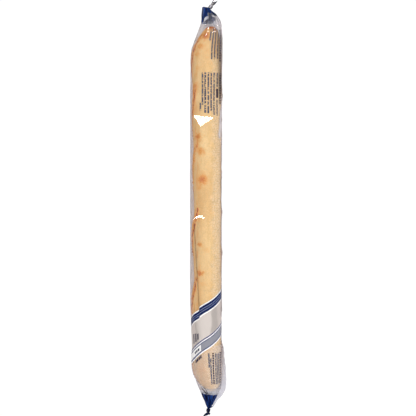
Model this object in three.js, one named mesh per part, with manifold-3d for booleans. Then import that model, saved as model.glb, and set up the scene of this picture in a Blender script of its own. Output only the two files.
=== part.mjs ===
import * as THREE from "three";
import { mergeVertices } from "three/addons/utils/BufferGeometryUtils.js";
import Module from "manifold-3d";

// A long baguette in a clear film bag, gathered and clipped at both ends, lying on its flank.
// Millimetres, +Z up. X runs from the head of the pack to its tail. -Y is the loaf's scored top
// and +Y its base, where the back seam of the film runs. The origin is under the middle of the pack.

const wasm = await Module();
wasm.setup();

// The loaf
const loafLength = 560;
const loafHeight = 43.5; // from its base to its scored top, along Y
const loafWidth = 45; // from flank to flank, along Z
const loafMiddleX = 1.5; // the pack's head is a little longer than its tail
const scoreCount = 6;
const scoreSpacing = 93;
const firstScoreX = -226;
const scoreLength = 84; // along X
const scoreTurn = 74; // degrees that one cut turns round the loaf
const scoreMiddle = 177; // degrees round from the base, over the near flank, to a cut's middle
const scoreRadius = 3.2; // of the round groove
const scoreDepth = 2.2;

// The film bag
const filmStart = -302;
const filmEnd = 304;
const filmWall = 0.4;
const filmGap = 0.7; // between the film and the loaf where it lies closest
const topSlack = 4; // the film stands off the scored top
const baseSlack = 0.9;
const filmFullness = 0.93;
const sag = 1.6; // of the round flank, pressed flat where the pack lies on it
const seamWidth = 9.5; // of the back seam's fin
const seamThickness = 0.7;

// The clips round the gathered ends
const neckRadius = 1.7;
const neckBore = 0.6; // radius of the way left open through a gathered neck
const clipWall = 0.9;
const clipGap = 0.4; // between a clip and the film inside it
const clipLength = 4.6;
const clipMouth = 0.35; // radians left open where a clip's ends meet

const axisZ = filmWall + filmGap + loafWidth / 2; // height of the loaf's axis over the surface
const neckZ = axisZ - 1;
const loafSides = 28;
const filmSides = 24;

// A closed skin over a list of rings of points. Each ring runs anticlockwise as seen from +X.
// An open row of rings gets a cap at each end, and a looped one returns to its first ring.
function skin(rings, looped = false) {
  const sides = rings[0].length;
  const points = rings.flat();
  const faces = [];
  const spans = looped ? rings.length : rings.length - 1;
  for (let i = 0; i < spans; i++) {
    const here = i * sides;
    const next = ((i + 1) % rings.length) * sides;
    for (let k = 0; k < sides; k++) {
      const side = (k + 1) % sides;
      faces.push(here + k, here + side, next + k);
      faces.push(here + side, next + side, next + k);
    }
  }
  if (!looped) {
    const last = (rings.length - 1) * sides;
    points.push(middleOf(rings[0]), middleOf(rings.at(-1)));
    for (let k = 0; k < sides; k++) {
      const side = (k + 1) % sides;
      faces.push(points.length - 2, side, k);
      faces.push(points.length - 1, last + k, last + side);
    }
  }
  const geometry = new THREE.BufferGeometry().setFromPoints(points);
  geometry.setIndex(faces);
  return geometry;
}

function middleOf(points) {
  const sum = points.reduce((a, p) => a.add(p), new THREE.Vector3());
  return sum.divideScalar(points.length);
}

// A smooth curve through [x, value] pairs, which never swings past them, read at any x.
function profile(pairs) {
  const rises = pairs.slice(1).map((p, i) => (p[1] - pairs[i][1]) / (p[0] - pairs[i][0]));
  const slopes = pairs.map((_, i) => {
    const before = rises[Math.max(i - 1, 0)];
    const after = rises[Math.min(i, rises.length - 1)];
    return before * after > 0 ? (2 * before * after) / (before + after) : 0;
  });
  return (x) => {
    const i = Math.max(0, Math.min(pairs.length - 2, pairs.findLastIndex((p) => p[0] <= x)));
    const [x0, v0] = pairs[i];
    const [x1, v1] = pairs[i + 1];
    const w = x1 - x0;
    const t = THREE.MathUtils.clamp((x - x0) / w, 0, 1);
    const rise = (1 - t) * (1 - t) * (v0 * (1 + 2 * t) + slopes[i] * w * t);
    return rise + t * t * (v1 * (3 - 2 * t) - slopes[i + 1] * w * (1 - t));
  };
}

// A rounded ring between y limits and z limits, round at fullness 1 and squarer below it.
// What would lie below floor is pressed flat.
function section(x, sides, [left, right], [low, high], floor, fullness = 1) {
  const swing = (v) => Math.sign(v) * Math.pow(Math.abs(v), fullness);
  const ring = [];
  for (let k = 0; k < sides; k++) {
    const turn = (k / sides) * 2 * Math.PI;
    const y = (left + right) / 2 + ((right - left) / 2) * swing(Math.cos(turn));
    const z = (low + high) / 2 + ((high - low) / 2) * swing(Math.sin(turn));
    ring.push(new THREE.Vector3(x, y, Math.max(z, floor)));
  }
  return ring;
}

// A small oval ring across a gathered end, turned about Z from facing along X.
function bunch({ x, y, turn, across, deep }, inset = 0) {
  const ring = [];
  for (let k = 0; k < filmSides; k++) {
    const angle = (k / filmSides) * 2 * Math.PI;
    const reach = (across - inset) * Math.cos(angle);
    const z = neckZ + (deep - Math.min(inset, deep - 0.3)) * Math.sin(angle);
    ring.push(new THREE.Vector3(x - reach * Math.sin(turn), y + reach * Math.cos(turn), z));
  }
  return ring;
}

function toSolid(geometry) {
  const plain = new THREE.BufferGeometry().setAttribute("position", geometry.getAttribute("position"));
  plain.setIndex(geometry.getIndex());
  const merged = mergeVertices(plain, 1e-3);
  return new wasm.Manifold(
    new wasm.Mesh({
      numProp: 3,
      vertProperties: new Float32Array(merged.getAttribute("position").array),
      triVerts: new Uint32Array(merged.getIndex().array),
    }),
  );
}

function toGeometry(solid) {
  const { vertProperties, triVerts } = solid.getMesh();
  const geometry = new THREE.BufferGeometry();
  geometry.setAttribute("position", new THREE.BufferAttribute(new Float32Array(vertProperties), 3));
  geometry.setIndex(new THREE.BufferAttribute(new Uint32Array(triVerts), 1));
  return geometry;
}

function meshOf(name, geometry, color, roughness, metalness = 0, opacity = 1) {
  const looks = { color, roughness, metalness, opacity, transparent: opacity < 1, flatShading: true };
  const mesh = new THREE.Mesh(geometry, new THREE.MeshStandardMaterial(looks));
  mesh.name = name;
  return mesh;
}

// The loaf: its top tapers in to a head nearer the base, and its tail is blunt.
const loafStart = loafMiddleX - loafLength / 2;
const loafEnd = loafMiddleX + loafLength / 2;
const loafTop = -loafHeight / 2;
const loafBase = loafHeight / 2;
const loafEdge = {
  top: profile([
    [loafStart, -1],
    [loafStart + 2, -6.5],
    [loafStart + 6, -10.2],
    [loafStart + 13, -14.6],
    [loafStart + 24, -19],
    [loafStart + 45, loafTop],
    [loafEnd - 65, loafTop],
    [loafEnd - 30, loafTop + 4],
    [loafEnd - 18, loafTop + 6.6],
    [loafEnd - 8, loafTop + 12],
    [loafEnd - 3, loafTop + 17],
    [loafEnd, 2],
  ]),
  base: profile([
    [loafStart, 6],
    [loafStart + 2, 11],
    [loafStart + 6, 14.8],
    [loafStart + 20, 19],
    [loafStart + 60, loafBase - 0.8],
    [loafEnd - 30, loafBase],
    [loafEnd - 12, loafBase - 2.4],
    [loafEnd - 4, loafBase - 7.5],
    [loafEnd, 8],
  ]),
  flank: profile([
    [loafStart, 3.5],
    [loafStart + 2, 9],
    [loafStart + 6, 13.4],
    [loafStart + 20, 19.4],
    [loafStart + 45, loafWidth / 2],
    [loafEnd - 42, loafWidth / 2],
    [loafEnd - 12, 17.2],
    [loafEnd - 4, 11.5],
    [loafEnd, 3],
  ]),
};

// How far below the flat the round outline would reach, which fades out towards the ends.
function sagAt(flank, fullFlank) {
  return sag * Math.pow(flank / fullFlank, 6);
}

function loafSection(x) {
  const flank = loafEdge.flank(x);
  const width = [loafEdge.top(x), loafEdge.base(x)];
  const height = [axisZ - flank - sagAt(flank, loafWidth / 2), axisZ + flank];
  return section(x, loafSides, width, height, axisZ - loafWidth / 2);
}

// Even steps along the middle, which close up towards both ends.
function stations(start, end, steps, crowding) {
  return Array.from({ length: steps + 1 }, (_, i) => {
    const even = i / steps;
    const crowded = (1 - Math.cos(Math.PI * even)) / 2;
    return start + (end - start) * (even * (1 - crowding) + crowded * crowding);
  });
}

// The round groove that a blade's diagonal cut leaves in the top, shallow at both its ends.
function scoreGroove(middleX) {
  const path = stations(-0.5, 0.5, 12, 0).map((along) => {
    const x = middleX + scoreLength * along;
    const angle = THREE.MathUtils.degToRad(scoreMiddle + scoreTurn * along);
    const lift = scoreRadius - scoreDepth + 2.6 * Math.pow(2 * along, 4);
    const reachY = (loafEdge.base(x) - loafEdge.top(x)) / 2 + lift;
    const reachZ = loafEdge.flank(x) + lift;
    const y = (loafEdge.base(x) + loafEdge.top(x)) / 2 + reachY * Math.cos(angle);
    return new THREE.Vector3(x, y, axisZ + reachZ * Math.sin(angle));
  });
  const round = new THREE.Shape().absarc(0, 0, scoreRadius, 0, 2 * Math.PI);
  const extrudePath = new THREE.CatmullRomCurve3(path);
  return new THREE.ExtrudeGeometry(round, { steps: 14, curveSegments: 8, extrudePath });
}

function makeLoaf() {
  let loaf = toSolid(skin(stations(loafStart, loafEnd, 42, 0.8).map(loafSection)));
  for (let i = 0; i < scoreCount; i++) {
    loaf = loaf.subtract(toSolid(scoreGroove(firstScoreX + i * scoreSpacing)));
  }
  return toGeometry(loaf);
}

// The film bag: a thin tube round the loaf, gathered to a neck at each end, where a clip holds it.
// Past its clip the head ends in a small tuft, and the tail spreads in a short fan.
const filmTop = loafTop - topSlack;
const filmBase = loafBase + baseSlack;
const filmFlank = loafWidth / 2 + filmGap + filmWall;
const filmEdge = {
  top: profile([
    [filmStart, -8],
    [filmStart + 7, -9.2],
    [filmStart + 15, -9.2],
    [filmStart + 23, -10.8],
    [filmStart + 36, -16.4],
    [filmStart + 49, -21.4],
    [filmStart + 66, filmTop + 0.9],
    [filmStart + 100, filmTop],
    [filmEnd - 155, filmTop],
    [filmEnd - 88, loafTop - 1.2],
    [filmEnd - 54, loafTop + 1.8],
    [filmEnd - 40, loafTop + 4.4],
    [filmEnd - 28, loafTop + 9],
    [filmEnd - 17, -7.4],
    [filmEnd, -1.6],
  ]),
  base: profile([
    [filmStart, 7.6],
    [filmStart + 7, 12.8],
    [filmStart + 15, 17.6],
    [filmStart + 25, 20.8],
    [filmStart + 40, filmBase + 0.4],
    [filmStart + 65, filmBase + 1.6],
    [filmStart + 110, filmBase + 0.4],
    [filmEnd - 100, filmBase],
    [filmEnd - 44, filmBase],
    [filmEnd - 28, 20],
    [filmEnd - 17, 15],
    [filmEnd - 7, 10],
    [filmEnd, 6.6],
  ]),
  flank: profile([
    [filmStart, 4.4],
    [filmStart + 8, 8],
    [filmStart + 24, 14.2],
    [filmStart + 42, 20.8],
    [filmStart + 64, filmFlank],
    [filmEnd - 60, filmFlank],
    [filmEnd - 28, 17.6],
    [filmEnd - 17, 12],
    [filmEnd - 7, 6.6],
    [filmEnd, 4.4],
  ]),
};

const tuft = [
  { x: -316.8, y: 12.2, turn: -0.7, across: 3.8, deep: 1 },
  { x: -313.8, y: 9.4, turn: -0.7, across: 2.4, deep: 1.5 },
  { x: -311.4, y: 7.4, turn: -0.6, across: neckRadius, deep: neckRadius },
  { x: -306.2, y: 3.8, turn: -0.6, across: neckRadius, deep: neckRadius },
];
const fan = [
  { x: 305.8, y: 3, turn: 0, across: neckRadius + 0.8, deep: neckRadius + 0.6 },
  { x: 307.2, y: 2.6, turn: 0.1, across: neckRadius, deep: neckRadius },
  { x: 313.2, y: 1.5, turn: 0.2, across: neckRadius, deep: neckRadius },
  { x: 314.6, y: 0.8, turn: 0.3, across: 4, deep: 1.5 },
  { x: 316.6, y: -0.4, turn: 0.38, across: 6.4, deep: 1.1 },
];

function filmSection(x, inset = 0) {
  const flank = filmEdge.flank(x);
  const width = [filmEdge.top(x) + inset, filmEdge.base(x) - inset];
  const middle = axisZ + (neckZ - axisZ) * (1 - flank / filmFlank);
  const height = [middle - flank - sagAt(flank, filmFlank) + inset, middle + flank - inset];
  return section(x, filmSides, width, height, inset, filmFullness);
}

const filmStations = stations(filmStart, filmEnd, 34, 0.78);

function makeFilmBag() {
  const bore = neckRadius - neckBore;
  const outside = [
    ...tuft.map((ring) => bunch(ring)),
    ...filmStations.map((x) => filmSection(x)),
    ...fan.map((ring) => bunch(ring)),
  ];
  const inside = [
    ...tuft.map((ring) => bunch(ring, bore)),
    ...filmStations.map((x) => filmSection(x, filmWall)),
    ...fan.map((ring) => bunch(ring, bore)),
  ];
  return toGeometry(toSolid(skin([...outside, ...inside.reverse()], true)).add(toSolid(makeSeam())));
}

// The fin of the back seam: it stands along the film over the base, and flares at the tail.
const seamStart = filmStart + 16;
const seamEnd = filmEnd - 2;
const seamLean = profile([
  [seamStart, 0.14],
  [filmEnd - 110, 0.14],
  [filmEnd - 80, 0.3],
  [filmEnd - 42, 0.72],
  [filmEnd - 18, 1.1],
  [seamEnd, 1.2],
]);

function makeSeam() {
  const half = seamThickness / 2;
  const along = filmStations.filter((x) => x > seamStart && x < seamEnd);
  const rings = along.map((x) => {
    const up = new THREE.Vector3(0, Math.sin(seamLean(x)), Math.cos(seamLean(x)));
    const across = new THREE.Vector3(0, Math.cos(seamLean(x)), -Math.sin(seamLean(x)));
    const root = new THREE.Vector3(x, filmEdge.base(x) - 0.05, neckZ);
    const tip = root.clone().addScaledVector(up, seamWidth);
    return [
      root.clone().addScaledVector(across, half),
      tip.clone().addScaledVector(across, half),
      tip.clone().addScaledVector(across, -half),
      root.clone().addScaledVector(across, -half),
    ];
  });
  return skin(rings);
}

// An open band of metal, bent round a neck until its ends nearly meet.
function makeClip() {
  const inner = neckRadius + clipGap;
  const start = clipMouth / 2;
  const end = 2 * Math.PI - clipMouth / 2;
  const band = new THREE.Shape();
  band.absarc(0, 0, inner + clipWall, start, end);
  band.absarc(0, 0, inner, end, start, true);
  return new THREE.ExtrudeGeometry(band, { depth: clipLength, bevelEnabled: false, curveSegments: 18 });
}

function placeClip(mesh, inner, outer) {
  const from = new THREE.Vector3(inner.x, inner.y, neckZ);
  const along = new THREE.Vector3(outer.x, outer.y, neckZ).sub(from);
  const slack = along.length() - clipLength;
  along.normalize();
  mesh.position.copy(from.addScaledVector(along, slack / 2));
  mesh.quaternion.setFromUnitVectors(new THREE.Vector3(0, 0, 1), along);
  return mesh;
}

const pack = new THREE.Group();
pack.add(
  meshOf("loaf", makeLoaf(), 0xe3bb7f, 0.8),
  meshOf("film_bag", makeFilmBag(), 0xe9edf2, 0.12, 0, 0.35),
  placeClip(meshOf("head_clip", makeClip(), 0xb9b9bd, 0.35, 0.9), tuft[3], tuft[2]),
  placeClip(meshOf("tail_clip", makeClip(), 0x14204a, 0.4, 0.6), fan[1], fan[2]),
);
const outline = new THREE.Box3().setFromObject(pack);
pack.position.set(-(outline.min.x + outline.max.x) / 2, -(outline.min.y + outline.max.y) / 2, -outline.min.z);

export default pack;
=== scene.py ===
import math
import bpy
import numpy as np
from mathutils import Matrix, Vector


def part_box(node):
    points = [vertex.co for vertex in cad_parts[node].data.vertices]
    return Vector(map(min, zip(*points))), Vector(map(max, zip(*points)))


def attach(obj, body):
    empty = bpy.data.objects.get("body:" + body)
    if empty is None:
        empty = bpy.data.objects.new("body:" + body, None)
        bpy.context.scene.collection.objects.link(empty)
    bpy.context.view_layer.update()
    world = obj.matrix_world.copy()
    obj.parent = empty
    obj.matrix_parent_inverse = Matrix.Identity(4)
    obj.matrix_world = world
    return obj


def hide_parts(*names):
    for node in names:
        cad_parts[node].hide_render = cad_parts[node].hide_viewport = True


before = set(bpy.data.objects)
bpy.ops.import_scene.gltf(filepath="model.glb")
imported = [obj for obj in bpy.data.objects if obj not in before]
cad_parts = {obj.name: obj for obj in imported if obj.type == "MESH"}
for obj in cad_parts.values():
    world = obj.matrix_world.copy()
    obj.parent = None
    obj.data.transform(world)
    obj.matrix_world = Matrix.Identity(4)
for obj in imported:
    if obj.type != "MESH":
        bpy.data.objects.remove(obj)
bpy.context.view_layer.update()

mm = 0.001
loafLow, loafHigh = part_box("loaf")
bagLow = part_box("film_bag")[0]
# the loaf and the film are worked out in millimetres from the middle of the loaf: x along it,
# y from its scored top (-) to its base (+), z from the flank it lies on up to the other
centre = np.array((loafLow + loafHigh) / 2)
loafSize = np.array(loafHigh - loafLow) / mm
floorZ = (bagLow.z - centre[2]) / mm
flatZ = (loafLow.z - centre[2]) / mm
print("frame: loaf", [round(float(side), 1) for side in loafSize], "mm")


def linear(hexColour, alpha=1.0):
    # "#E9C389" as typed in a colour picker to the linear numbers a shader wants
    parts = [int(hexColour[i : i + 2], 16) / 255 for i in (1, 3, 5)]
    light = [part / 12.92 if part <= 0.04045 else ((part + 0.055) / 1.055) ** 2.4 for part in parts]
    return (*light, alpha)


def addNode(tree, kind, inputs=None, out=0, stops=None, blend="EASE", **settings):
    # one node with its settings and its inputs, each a plain value or another node's output; a ramp
    # also takes its stops, each (place 0 to 1, colour), and the way it blends between them
    made = tree.nodes.new("ShaderNode" + kind)
    for name, value in settings.items():
        setattr(made, name, value)
    for socket, value in (inputs or {}).items():
        if isinstance(value, bpy.types.NodeSocket):
            tree.links.new(value, made.inputs[socket])
        else:
            made.inputs[socket].default_value = value
    if stops:
        made.color_ramp.interpolation = blend
        elements = made.color_ramp.elements
        elements.remove(elements[-1])
        elements[0].position, elements[0].color = stops[0]
        for place, colour in stops[1:]:
            elements.new(place).color = colour
    return made.outputs[out] if made.outputs else made


def grey(level):
    # the same amount in all three channels, for a ramp that carries an amount
    return (level, level, level, 1)


def shades(stops):
    return [(place, linear(colour)) for place, colour in stops]


def newMaterial(name):
    material = bpy.data.materials.new(name)
    material.use_nodes = True
    material.node_tree.nodes.clear()
    return material, material.node_tree


def clearSelection():
    if bpy.context.object and bpy.context.object.mode != "OBJECT":
        bpy.ops.object.mode_set(mode="OBJECT")
    bpy.ops.object.select_all(action="DESELECT")


def takeActive(name):
    piece = bpy.context.object
    piece.name = piece.data.name = name
    return piece


def readPoints(piece):
    points = np.empty(len(piece.data.vertices) * 3)
    piece.data.vertices.foreach_get("co", points)
    return points.reshape(-1, 3)


def writePoints(piece, points):
    piece.data.vertices.foreach_set("co", points.ravel())
    piece.data.update()


def writeValue(piece, name, values):
    layer = piece.data.attributes.new(name, "FLOAT", "POINT")
    layer.data.foreach_set("value", np.asarray(values, np.float32))


def writeFlat(piece, name, flat):
    # every corner of every face takes its point's place in mm on the flattened surface
    corners = np.empty(len(piece.data.loops), int)
    piece.data.loops.foreach_get("vertex_index", corners)
    layer = piece.data.uv_layers.new(name=name)
    layer.data.foreach_set("uv", flat[corners].ravel())


def smoothPiece(piece):
    clearSelection()
    piece.select_set(True)
    bpy.context.view_layer.objects.active = piece
    bpy.ops.object.shade_smooth()


def curve(pairs):
    # a smooth curve through (x, value) pairs that never swings past them
    xs, values = (np.array(column, float) for column in zip(*pairs))
    rise = np.diff(values) / np.diff(xs)
    before, after = np.r_[rise[0], rise], np.r_[rise, rise[-1]]
    both = before * after
    slope = np.where(both > 0, 2 * both / np.where(both > 0, before + after, 1), 0)

    def at(x):
        x = np.clip(x, xs[0], xs[-1])
        i = np.clip(np.searchsorted(xs, x, "right") - 1, 0, len(xs) - 2)
        width = xs[i + 1] - xs[i]
        part = (x - xs[i]) / width
        start = (1 - part) ** 2 * (values[i] * (1 + 2 * part) + slope[i] * width * part)
        return start + part * part * (values[i + 1] * (3 - 2 * part) - slope[i + 1] * width * (1 - part))

    return at


def step(low, high, x):
    # 0 up to low and 1 from high on, eased; it falls instead where high is the smaller of the two
    part = np.clip((x - low) / (high - low), 0, 1)
    return part * part * (3 - 2 * part)


def window(x, rise, fall):
    # 1 between two eased sides, each from where it is 0 to where it is 1
    return step(*rise, x) * step(*fall, x)


def hump(distance, width):
    # 1 in the middle and fading smoothly to both sides
    return np.exp(-((distance / width) ** 2))


def wrapped(angle):
    # the same angle between half a turn back and half a turn on
    return np.angle(np.exp(1j * angle))


def ripple(x, angle, cells, seed):
    # smooth random waves over length and angle, about -1 to 1, with cells = (mm, radians)
    count = 14
    waves = np.random.default_rng(seed)
    total = np.zeros(np.broadcast(x, angle).shape)
    for _ in range(count):
        along = waves.normal() * 2 * math.pi / cells[0]
        around = round(waves.normal() * 2 * math.pi / cells[1])
        total += np.sin(along * x + around * angle + waves.uniform(0, 2 * math.pi))
    return total / math.sqrt(count)


# camera and light
studio = {
    "lens": 100,
    "sensor": 36,  # width in mm, as Blender has it
    "frameLength": 0.6382,  # metres along the pack that fill the picture from edge to edge
    "worldLight": 0.4,
    "floorColour": "#E4E0E1",
    "floorGlow": 1.05,
    # lamps: place, aim, size, radiance, whether they light the pack, whether its gloss shows them
    "lamps": {
        "ceiling": ((0, 0.15, 2.3), (0, 0.15, 0), (2.6, 3.6), 2.05, True, False),
        "softbox": ((0, -1.75, 2.2), (0, -1.75, 0), (2.6, 6), 0.75, False, True),
        "barLamp": ((-1.1, 0.21, 1.6), (-0.1, 0.21, 0), (3.38, 0.22), 32, False, True),
        "fill": ((0, 1.7, 0.9), (0, 0, 0), (2.6, 1.2), 0.8, True, False),
    },
}


def makeCamera():
    clearSelection()
    far = studio["frameLength"] * studio["lens"] / studio["sensor"]
    bpy.ops.object.camera_add(location=(0, 0, centre[2] + far), rotation=(0, 0, math.pi / 2))
    camera = bpy.context.object
    camera.data.lens = studio["lens"]
    bpy.context.scene.camera = camera


def makeLamp(name, place, aim, size, radiance, lights, shines):
    # a rectangular lamp; some only light the pack and some only show in its gloss
    clearSelection()
    bpy.ops.object.light_add(type="AREA", location=place)
    light = bpy.context.object
    light.name = name
    light.data.shape = "RECTANGLE"
    light.data.size, light.data.size_y = size
    light.data.energy = radiance * math.pi * size[0] * size[1]
    light.visible_diffuse, light.visible_glossy = lights, shines
    away = np.array(place) - np.array(aim)
    level = math.hypot(away[0], away[1])
    turn = math.atan2(away[0], -away[1]) if level > 1e-6 else 0
    light.rotation_euler = (math.atan2(level, away[2]), 0, turn)


def makeStudio():
    makeCamera()
    world = bpy.data.worlds.new("paleStudio")
    bpy.context.scene.world = world
    world.use_nodes = True
    world.node_tree.nodes.clear()
    seen = addNode(world.node_tree, "LightPath", {}, "Is Camera Ray")
    level = addNode(world.node_tree, "Mix", {"Factor": seen, "A": studio["worldLight"], "B": 1.0})
    around = addNode(world.node_tree, "Background", {"Color": (1, 1, 1, 1), "Strength": level})
    addNode(world.node_tree, "OutputWorld", {"Surface": around})
    bpy.context.scene.view_settings.view_transform = "Standard"
    for name, lamp in studio["lamps"].items():
        makeLamp(name, *lamp)
    # a pale grey sheet that is plain white to the camera, unless it is seen through the film
    material, tree = newMaterial("matt_acrylic_sheet")
    sheet = addNode(tree, "BsdfDiffuse", {"Color": linear(studio["floorColour"])})
    glow = addNode(tree, "Emission", {"Color": (1, 1, 1, 1), "Strength": studio["floorGlow"]})
    ray = addNode(tree, "LightPath", {}, "Is Camera Ray")
    depth = ray.node.outputs["Transparent Depth"]
    bare = addNode(tree, "Math", {0: depth, 1: 0.5}, operation="LESS_THAN")
    straight = addNode(tree, "Math", {0: ray, 1: bare}, operation="MULTIPLY")
    shown = addNode(tree, "MixShader", {0: straight, 1: sheet, 2: glow})
    addNode(tree, "OutputMaterial", {"Surface": shown})
    clearSelection()
    bpy.ops.mesh.primitive_plane_add(size=8, location=(0, 0, bagLow.z - 0.0002))
    floor = takeActive("floor")
    floor.data.materials.append(material)
    print("studio: camera and lights are in place")


# the loaf
loaf = {
    "sides": 144,
    "rings": 420,
    "ringSpread": [-1, -0.955, -0.6, -0.3, 0, 0.3, 0.6, 0.955, 1],  # where they lie, from end to end
    # its outline seen from above and half its height, each (place along it, mm)
    "topEdge": [(-280, 4.5), (-279, 0.5), (-277.3, -2), (-272.4, -6.3), (-263.2, -12.6), (-254.7, -17),
                (-244, -20.5), (-232, -21.75), (-140, -21.6), (-80, -20.4), (-30, -20.3), (5, -19.5),
                (25, -19.9), (80, -20.3), (105, -19.5), (130, -20.1), (170, -21.2), (215, -21.6),
                (236, -21), (250, -19.2), (260, -15.6), (269.3, -9.4), (275.4, -2.6), (278.6, 2.2),
                (280, 6)],
    "baseEdge": [(-280, 8.5), (-279, 11.6), (-277.3, 13.5), (-274.7, 15.6), (-267.8, 18.5), (-260, 20),
                 (-225, 21.6), (250, 21.75), (264, 21), (271, 18.8), (276, 15), (279, 11), (280, 9)],
    "flankEdge": [(-280, 2.2), (-279, 5.8), (-277.3, 8.6), (-272.4, 13.6), (-260, 19.4), (-235, 22.5),
                  (238, 22.5), (264, 19.4), (274, 13.6), (278.6, 7.4), (280, 2.5)],
    "fullFlank": 22.5,  # half its height where it is full
    "meanRadius": 22,  # turns an angle into a length round it
    "sag": 1.6,  # how far its round underside would pass the flat that it lies on
    # each cut: where its middle is, how far it opened, how toasted its edges are
    "cuts": [(-228, 0.9, 0.9), (-146, 0.75, 0.8), (-60, 0.75, 0.55), (38, 1.35, 1.0), (142, 1.15, 0.9),
             (236, 0.7, 0.3)],
    "cutLength": 84,
    "cutTurn": 74,  # degrees round the loaf
    "cutMiddle": 177,  # degrees round it, from the middle of the base over the upper flank
    "cutHalfWidth": 5.2,
    # relief in mm of a cut that opened by 1: torn lip, the groove under it, far edge, the bread
    # between them and the swelling all round
    "cutRelief": (1.35, 1.5, 0.5, 2.3, 1.1),
    # blisters: where along the loaf, degrees round it, radius, how dark
    "blisters": [(-264, 110, 5.5, 0.72), (-246, 124, 5, 0.42), (-236, 133, 4.5, 0.36), (-214, 131, 4, 0.3),
                 (-187, 148, 6, 0.5), (-178, 160, 6, 0.55), (-170, 168, 5, 0.45), (-110, 133, 5, 0.55),
                 (-104, 123, 4.5, 0.3), (-88, 121, 5.5, 0.45), (-45, 114, 6.2, 0.58), (-33, 130, 4.5, 0.34),
                 (54, 126, 3.6, 0.5), (62, 97, 5, 0.22), (98, 126, 4, 0.62), (114, 114, 5, 0.22),
                 (243, 126, 9, 0.22)],
    # and more of them over the scored side, each value drawn between two limits
    "moreBlisters": 46,
    "moreWithin": [(-265, 265), (170, 268), (2, 6), (0.15, 0.6)],
    "seed": 7,
    # how dark the bake is: beside the scores, on the ridge between them, along the base
    "sideToast": 0.18,
    "ridgeToast": 0.4,
    "baseToast": 0.34,
    "trayReach": 80,  # degrees round from the base, up both flanks
    # sizes of the crust's patterns, and how far apart the tray's pimples are
    "patchSize": 35,
    "mottleSize": 6,
    "grainSize": 2.2,
    "skinSize": 0.9,
    "pimpleGap": 2.6,
    "roughDepth": 0.5,
    "roughness": 0.72,
    # colours of the golden crust, of its toasted places and of the torn crumb, each with its place on
    # a ramp, and of what the tray left
    "goldStops": [(0.3, "#DCAE6C"), (0.5, "#E4BC7F"), (0.7, "#ECC98E")],
    "toastStops": [(0.05, "#E2AE66"), (0.35, "#E09B48"), (0.62, "#CB7228"), (0.95, "#7A2D08")],
    "crumbStops": [(0.35, "#B9712F"), (0.55, "#D9994E"), (0.75, "#E9BD7E")],
    "trayColour": "#E0BC8A",
    "pimpleColour": "#F0D8B2",
}
loafTop, loafBase, loafFlank = (curve(loaf[k]) for k in ("topEdge", "baseEdge", "flankEdge"))


def cutShape(x, angle):
    # height of the scores' relief in mm, how dark the crust is drawn there, along the lips and in the grooves
    # under them, and how open it is
    height, toast, opened = (np.zeros(x.shape) for _ in range(3))
    lipHeight, grooveDepth, farHeight, breadHeight, swelling = loaf["cutRelief"]
    radius = loaf["meanRadius"]
    turn = math.radians(loaf["cutTurn"])
    lean = math.atan2(radius * turn, loaf["cutLength"])
    for number, (middle, strength, dark) in enumerate(loaf["cuts"]):
        along = (x - middle) / (loaf["cutLength"] / 2)
        wander = 0.9 * ripple(x, 0 * angle, (26, 9), 40 + number)
        line = math.radians(loaf["cutMiddle"]) + turn / 2 * along
        across = radius * (angle - line) * math.cos(lean) + wander
        inside = np.clip(1 - along**2, 0, 1)
        half = loaf["cutHalfWidth"] * (0.55 + 0.45 * strength) * inside**0.5 + 0.01
        fade = step(0, 0.22, inside)
        rough = 1 + 0.5 * ripple(x, angle, (7, 0.5), 60 + number)
        lip = hump(across + half, 1.25) * rough
        groove = hump(across + half - 2.1, 1.3)
        farEdge = hump(across - half, 1.6)
        bread = np.clip(1 - (across / half) ** 2, 0, 1)
        relief = lipHeight * lip - grooveDepth * groove + farHeight * farEdge + breadHeight * bread * inside
        height += fade * strength * relief
        height += strength * swelling * hump(across, 13) * inside
        toast = np.maximum(toast, fade * dark * (0.95 * lip + 0.35 * farEdge * rough))
        # the groove under each lip is drawn darker too
        toast = np.maximum(toast, fade * dark * 0.75 * groove * rough)
        opened = np.maximum(opened, fade * step(0, 0.35, bread))
    return height, np.clip(toast, 0, 1), opened


def loafSurface(x, angle):
    # points of the crust for a place along it and an angle, from the base (0) over the upper flank
    top, base, flank = loafTop(x), loafBase(x), loafFlank(x)
    height, toast, opened = cutShape(x, angle)
    ends = np.clip(flank / loaf["fullFlank"], 0, 1)
    lumps = 0.32 * ripple(x, angle, (55, 1.6), 1) + 0.12 * ripple(x, angle, (16, 0.7), 2)
    rise = height * ends + lumps * ends
    y = (top + base) / 2 + ((base - top) / 2 + rise) * np.cos(angle)
    low = loaf["sag"] * ends**6
    z = -low / 2 + (flank + low / 2 + rise) * np.sin(angle)
    return y, np.maximum(z, flatZ), toast, opened


def toastSpots(x, angle):
    # how dark the blisters are, each a soft round spot with an uneven edge
    rng = np.random.default_rng(loaf["seed"])
    heat = np.zeros(x.shape)
    spots = list(loaf["blisters"])
    for _ in range(loaf["moreBlisters"]):
        spots.append([rng.uniform(*limits) for limits in loaf["moreWithin"]])
    for spotX, degrees, size, dark in spots:
        beside = loaf["meanRadius"] * wrapped(angle - math.radians(degrees))
        uneven = ripple(x, angle, (9, 0.5), int(spotX) % 97)
        gap = np.hypot(x - spotX, beside / 1.3) * (1 + 0.22 * uneven)
        heat = np.maximum(heat, dark * np.exp(-((gap / (1.3 * size)) ** 2.2)))
    return heat


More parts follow.
